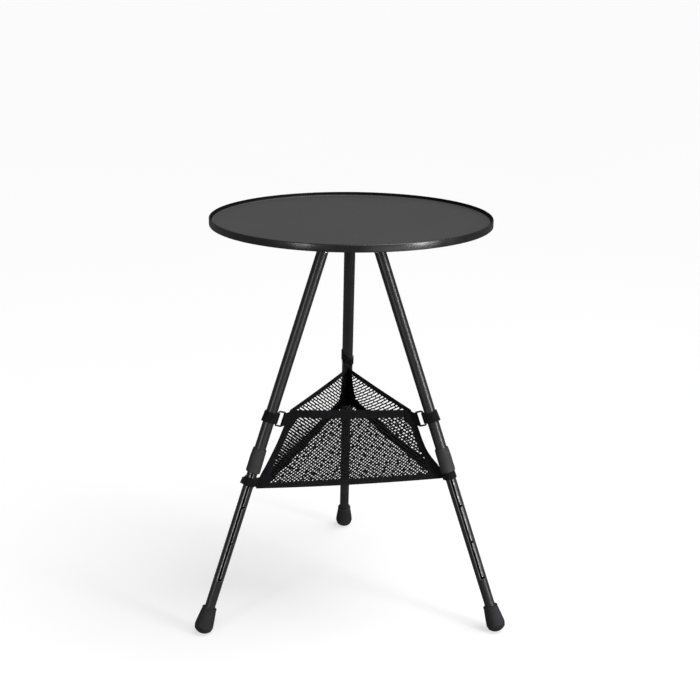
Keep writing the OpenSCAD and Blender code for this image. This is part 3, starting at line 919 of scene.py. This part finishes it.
def slot_cells(outline, grain):
    """The knitted mesh over a flat outline: staggered cells, each a frame round a long slot."""
    turn = math.radians(grain)
    along, over = np.array((math.cos(turn), math.sin(turn))), np.array((-math.sin(turn), math.cos(turn)))
    half_l, half_p, end_r = SLOT_CELL / 2, SLOT_PITCH / 2, SLOT_W / 2
    straight = SLOT_L / 2 - end_r
    hole, rim = [], []
    for sign in (1, -1):
        for k, a in enumerate(np.radians((-90, -45, 0, 45, 90))):
            hole.append((sign * (straight + end_r * math.cos(a)), sign * end_r * math.sin(a)))
            rim.append((sign * half_l, sign * half_p * (-1, -0.5, 0, 0.5, 1)[k]))
        hole.append((0, sign * end_r))
        rim.append((0, sign * half_p))
    cell = np.array(hole + rim)
    ring = len(hole)
    faces = [(k, (k + 1) % ring, ring + (k + 1) % ring, ring + k) for k in range(ring)]
    seen_l, seen_o = outline @ along, outline @ over
    parts = []

    def steps(seen, size):
        return range(math.floor(seen.min() / size) - 1, math.ceil(seen.max() / size) + 2)

    for row in steps(seen_o, SLOT_PITCH):
        shift = half_l * (row % 2)
        for column in steps(seen_l, SLOT_CELL):
            centre = (column * SLOT_CELL + shift) * along + row * SLOT_PITCH * over
            parts.append((centre + cell[:, :1] * along + cell[:, 1:] * over, faces))
    verts, faces = merge(parts)
    return np.array(verts), faces


def net_cloth(panel, inset):
    """The panel's mesh, clipped to its outline less an inset, as a bmesh on the panel's surface."""
    outline = panel.outline()
    middle = outline.mean(0)
    verts, faces = slot_cells(outline, GRAIN[panel.name])
    bm = bmesh.new()
    points = [bm.verts.new((x, y, 0)) for x, y in verts]
    for face in faces:
        bm.faces.new([points[i] for i in face])
    bmesh.ops.remove_doubles(bm, verts=bm.verts, dist=1e-5)
    for a, b in zip(outline, np.roll(outline, -1, 0)):
        side = np.array((b[1] - a[1], a[0] - b[0]))
        side /= np.linalg.norm(side)
        if (middle - a) @ side > 0:
            side = -side
        start = a - side * inset
        geom = bm.verts[:] + bm.edges[:] + bm.faces[:]
        bmesh.ops.bisect_plane(bm, geom=geom, plane_co=(*start, 0), plane_no=(*side, 0), clear_outer=True)
    flat = np.array([v.co[:2] for v in bm.verts])
    for vert, place in zip(bm.verts, panel.lift(flat)):
        vert.co = place
    return bm


def uv_strip(panel, ends, width_from, width_to, steps, rows=4):
    """A strip of a wall's surface. ends(t) gives its two sides as (u, v) for t from 0 to 1."""
    verts = []
    for share in np.linspace(width_from, width_to, rows):
        sides = [ends(t) for t in np.linspace(0, 1, steps)]
        verts += list(panel.surface(np.array([np.array(a) + (np.array(b) - np.array(a)) * share
                                              for a, b in sides])))
    return verts, grid_faces(rows, steps)


def wall_strips(wall):
    """Tapes and patches of a wall: (verts, faces) on its surface."""
    top = lambda t: ((t, 1.0), (t, 1.0 - TAPE_W[wall.name] / wall.height(t)))
    bottom = lambda t: ((t, 0.0), (t, SEAM_W / wall.height(t)))
    strips = [uv_strip(wall, top, 0, 1, 61), uv_strip(wall, bottom, 0, 1, 61)]
    for side, edge, sign in ((wall.start, 0.0, 1), (wall.end, 1.0, -1)):
        if side == "back":
            wide = lambda v: GUSSET_W + (SEAM_W - GUSSET_W) * v
        else:
            wide = lambda v: (EDGE_W + PATCH[side] * max(0.0, 1 - v / PATCH_END) ** 1.2
                              + SEAM_W * (max(0.0, v - FLARE_START) / (1 - FLARE_START)) ** 0.6)
        ends = lambda v: ((edge, v), (edge + sign * wide(v) / wall.length(v), v))
        strips.append(uv_strip(wall, ends, 0, 1, 33, 8))
    return strips


def floor_strips(floor):
    """Tapes along the floor's three edges, and a patch in each corner."""
    strips = []
    for i, j in ((0, 1), (1, 2), (2, 0)):
        other = 3 - i - j
        length = np.linalg.norm(floor.corners[i] - floor.corners[j])
        height = np.linalg.norm(np.cross(floor.corners[i] - floor.corners[other],
                                         floor.corners[j] - floor.corners[other])) / length
        verts = []
        for depth in np.linspace(0, SEAM_W / height, 4):
            for t in np.linspace(0, 1, 61):
                shares = np.zeros(3)
                shares[other] = depth
                shares[i], shares[j] = (1 - t) * (1 - depth), t * (1 - depth)
                verts.append(shares)
        strips.append((floor.surface(np.array(verts)), grid_faces(4, 61)))
    for i in range(3):
        j, k = (i + 1) % 3, (i + 2) % 3
        reach = [FLOOR_PATCH[i] / np.linalg.norm(floor.corners[i] - floor.corners[m]) for m in (j, k)]
        verts = []
        for s in np.linspace(0, 1, 7):
            for t in np.linspace(0, 1, 9):
                scoop = 1 if i == 0 else 1 - 0.45 * math.sin(math.pi * t)
                shares = np.zeros(3)
                shares[j], shares[k] = reach[0] * s * (1 - t) * scoop, reach[1] * s * t * scoop
                shares[i] = 1 - shares[j] - shares[k]
                verts.append(shares)
        strips.append((floor.surface(np.array(verts)), grid_faces(7, 9)))
    return strips


def thicken(bm, thickness):
    """Gives a sheet its thickness, half to each side."""
    bmesh.ops.recalc_face_normals(bm, faces=bm.faces)
    bm.normal_update()
    for vert in bm.verts:
        vert.co -= vert.normal * thickness / 2
    bmesh.ops.solidify(bm, geom=bm.faces[:], thickness=-thickness)


def cut_to_sector(bm, side):
    """Keeps what lies in the third of the circle round a leg."""
    centre = math.atan2(LEGS[side].plan[1], LEGS[side].plan[0])
    for turn in (-1, 1):
        edge = centre + turn * math.pi / 3
        outward = Vector((-math.sin(edge) * turn, math.cos(edge) * turn, 0))
        geom = bm.verts[:] + bm.edges[:] + bm.faces[:]
        bmesh.ops.bisect_plane(bm, geom=geom, plane_co=AXIS, plane_no=outward, clear_outer=True)
    return bm


def hang(obj, side):
    """Bakes the piece's placement into its mesh."""
    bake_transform(obj)
    return obj


def sides_of(panel):
    return SIDES if panel.name == "floor" else WALLS[panel.name]


def net_node(panel):
    return "net_floor" if panel.name == "floor" else "net_wall_" + panel.name


def build_net_panel(panel):
    """A panel's mesh, split where the three legs' shares of the bag meet."""
    cloth = net_cloth(panel, NET_INSET)
    made = []
    for side in sides_of(panel):
        bm = cut_to_sector(cloth.copy(), side)
        area = sum(face.calc_area() for face in bm.faces)
        thicken(bm, NET_T)
        obj = bmesh_object("net_{}_{}_part".format(panel.name, side), bm, MESH, 40)
        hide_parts(net_node(panel))
        hang(obj, side)
        made.append((obj, area))
    cloth.free()
    return made


def build_tapes(panels, side):
    """All the tapes and patches of the bag in one leg's share."""
    parts = [strip for panel in panels if side in sides_of(panel)
             for strip in (floor_strips(panel) if panel.name == "floor" else wall_strips(panel))]
    bm = bmesh.new()
    for verts, faces in parts:
        strip = bmesh.new()
        points = [strip.verts.new(tuple(v)) for v in verts]
        for face in faces:
            strip.faces.new([points[i] for i in face])
        bmesh.ops.remove_doubles(strip, verts=strip.verts, dist=1e-6)
        cut_to_sector(strip, side)
        thicken(strip, TAPE_T)
        mesh = bpy.data.meshes.new("strip")
        strip.to_mesh(mesh)
        strip.free()
        bm.from_mesh(mesh)
        bpy.data.meshes.remove(mesh)
    tape = bmesh_object("net_tape_{}_part".format(side), bm, WEBBING, 40, weld=1e-9)
    return hang(tape, side)


def tape_stitches(panels, side):
    """Rows of stitches along the tapes, on both faces of the bag."""
    lines = []
    for panel in panels:
        if panel.name == "floor" or side not in sides_of(panel):
            continue
        rows = [lambda t, d=d: (t, 1 - d / panel.height(t)) for d in (2 * MM, TAPE_W[panel.name] - 2 * MM)]
        rows += [lambda t, d=d: (t, d / panel.height(t)) for d in (2 * MM, SEAM_W - 2 * MM)]
        for row in rows:
            uv = np.array([row(t) for t in np.linspace(0.03, 0.97, 60)])
            points = panel.surface(uv)
            near = np.argmin([np.linalg.norm(points[k] - corner_line(side, uv[k][1])[0]) for k in (0, -1)])
            half = slice(0, 31) if near == 0 else slice(29, 60)
            for face in (1, -1):
                normals = [panel.normal * face] * 31
                lifted = points[half] + panel.normal * face * (TAPE_T / 2)
                lines.append(stitch_line(lifted, normals))
    verts, faces = merge(lines)
    thread = mesh_object("net_stitches_{}_part".format(side), verts, faces, THREAD, 60, weld=1e-9)
    return hang(thread, side)


def ring_tab(side):
    """Doubled tape from the two walls at a top corner round the ring's free bar."""
    leg, ring = LEGS[side], RING[side]
    matrix = ring_matrix(leg)
    eye_r = WIRE_R + BAND_T / 2 + 0.12 * MM
    half = ring["held"] / 2 - (1.0 * MM if side != "back" else 1.6 * MM)
    reach = ring["reach"]
    tail = 12 * MM if side != "back" else 6 * MM
    spread = math.tan(math.radians(29 if side != "back" else 26))
    lean = math.tan(math.acos(leg.up[2])) if side != "back" else 0.0
    gap = BAND_T / 2 + 0.05 * MM
    bar = [(reach + eye_r * math.cos(a), eye_r * math.sin(a)) for a in np.radians((60, 115, 180, 245, 300))]
    root = reach + eye_r + 1.2 * MM
    path = [(root + tail, gap + spread * tail), (root + tail / 2, gap + spread * tail / 2), (root, gap)]
    path = smooth_path(path + bar + [(x, -y) for x, y in reversed(path)], 5)

    def place(x, y, z):
        return matrix @ Vector((x, y, z))

    def span(x, y):
        beyond = max(0.0, x - reach)
        return lean * beyond - half, min(half + lean * beyond, half + 4.2 * MM)

    verts, faces = ribbon(path, BAND_T, span, 7, False, place)
    tab = mesh_object("ring_tab_" + side, verts, faces, WEBBING, 45)
    bevel(tab, 0.35 * MM)
    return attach(tab, leg.upper)


def build_bag():
    panels = [Wall(name) for name in WALLS] + [Floor()]
    tapes = {side: build_tapes(panels, side) for side in SIDES}
    threads = {side: tape_stitches(panels, side) for side in SIDES}
    tabs = {side: ring_tab(side) for side in SIDES}
    for side in SIDES:
        names = [name for name in WALLS if WALLS[name][0] == side]
        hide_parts(*["net_tape_" + name for name in names])
    for panel in panels:
        for obj, area in build_net_panel(panel):
            declare_net(panel, obj, area)
    return tapes, threads, tabs


def declare_net(panel, obj, area):
    """Works out a piece of mesh's reach along its panel's axes and the cloth in it, and keeps neither.
    """
    points = np.array([v.co for v in obj.data.vertices])
    size = [float(np.ptp(points @ axis)) for axis in (panel.e1, panel.e2)]
    area = max(area, LEAST_AREA * size[0] * size[1])
    ["ring_" + side for side in sides_of(panel)]


# ---------------------------------------------------------------- stage, light and camera

def build_camera():
    """The viewing point: in front, above the tray, looking down."""
    back, height, aside = 1994.4 * MM, 1051.4 * MM, -64.8 * MM
    pitch, yaw, roll = math.radians(16.8), math.radians(1.86), math.radians(0.51)
    forward = Vector((math.sin(yaw) * math.cos(pitch), math.cos(yaw) * math.cos(pitch), -math.sin(pitch)))
    right = forward.cross(Vector((0, 0, 1))).normalized()
    up = right.cross(forward)
    right, up = (math.cos(roll) * right + math.sin(roll) * up, math.cos(roll) * up - math.sin(roll) * right)
    data = bpy.data.cameras.new("camera")
    data.lens, data.sensor_width = 63.99, 36
    data.clip_start, data.clip_end = 0.01, 500
    camera = bpy.data.objects.new("camera", data)
    matrix = Matrix((right, up, -forward)).transposed().to_4x4()
    matrix.translation = Vector((aside, AXIS[1] - back, height))
    camera.matrix_world = matrix
    bpy.context.scene.collection.objects.link(camera)
    bpy.context.scene.camera = camera


def area_light(name, place, target, size, power, colour=(1, 1, 1)):
    data = bpy.data.lights.new(name, "AREA")
    data.shape, data.size, data.size_y = "RECTANGLE", *size
    data.energy, data.color = power, colour
    light = bpy.data.objects.new(name, data)
    light.location = place
    light.rotation_euler = (Vector(target) - Vector(place)).to_track_quat("-Z", "Y").to_euler()
    bpy.context.scene.collection.objects.link(light)
    return light


def build_backdrop(radius):
    """A white wall round the floor's edge, seen only by the camera."""
    finish = Finish("white_backdrop", (0, 0, 0), 1.0, **{"Specular IOR Level": 0.0,
                                                       "Emission Color": (1, 1, 1, 1),
                                                       "Emission Strength": 1.0})
    profile = [(0.98 * radius, -1), (0.98 * radius, 0.6 * radius), (0.5 * radius, 0.9 * radius)]
    wall = mesh_object("stage_backdrop", *lathe(profile, 64), finish.material)
    for kind in ("visible_glossy", "visible_diffuse", "visible_transmission", "visible_shadow"):
        setattr(wall, kind, False)
    wall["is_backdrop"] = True


def build_stage():
    """A pale floor, an even dim surround, a broad light overhead and strips at the sides."""
    scene = bpy.context.scene
    scene.view_settings.view_transform = "Standard"
    world = bpy.data.worlds.new("surround")
    scene.world = world
    world.use_nodes = True
    background = world.node_tree.nodes["Background"]
    background.inputs["Color"].default_value = (1, 1, 1, 1)
    background.inputs["Strength"].default_value = 0.12
    finish = Finish("pale_floor", (0.5, 0.5, 0.5), 0.9, **{"Specular IOR Level": 0.0,
                                                         "Emission Color": (1, 1, 1, 1),
                                                         "Emission Strength": FLOOR_GLOW})
    finish.set("Base Color", finish.mix(finish.noise(0.6, 2), (0.49, 0.49, 0.49), (0.51, 0.51, 0.51)))
    size = 120
    verts = [(-size, -size, 0), (size, -size, 0), (size, size, 0), (-size, size, 0)]
    floor = mesh_object("stage_floor", verts, [(0, 1, 2, 3)], finish.material)
    floor.visible_glossy = False
    floor.visible_diffuse = False
    floor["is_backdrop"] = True
    build_backdrop(size)
    overhead = bpy.data.lights.new("overhead", "SUN")
    overhead.energy, overhead.angle = 1.8, math.radians(44)
    light = bpy.data.objects.new("overhead", overhead)
    light.rotation_euler = Vector((0.38, -0.1, 0.92)).to_track_quat("Z", "Y").to_euler()
    scene.collection.objects.link(light)
    middle = (AXIS[0], AXIS[1], 0.4)
    area_light("right_strip", (2.2, -1.7, 0.9), middle, (0.5, 1.4), 38)
    area_light("left_strip", (-1.7, -2.2, 0.9), middle, (0.35, 1.4), 14)
    area_light("low_front", (1.0, -1.6, 0.2), (AXIS[0], AXIS[1], 0.67), (1.4, 0.5), 1.8)


build_camera()
build_stage()
build_tray()
dress_cad_nodes()
for each in LEGS.values():
    build_collar(each)
    build_foot(each)
    build_ring(each)
    build_ring_strap(each)
    build_corner_strap(each)
build_bag()

corners = {"cad": CAD_BOX, "visual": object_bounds()}
{name: [list(low), list(high)] for name, (low, high) in corners.items()}
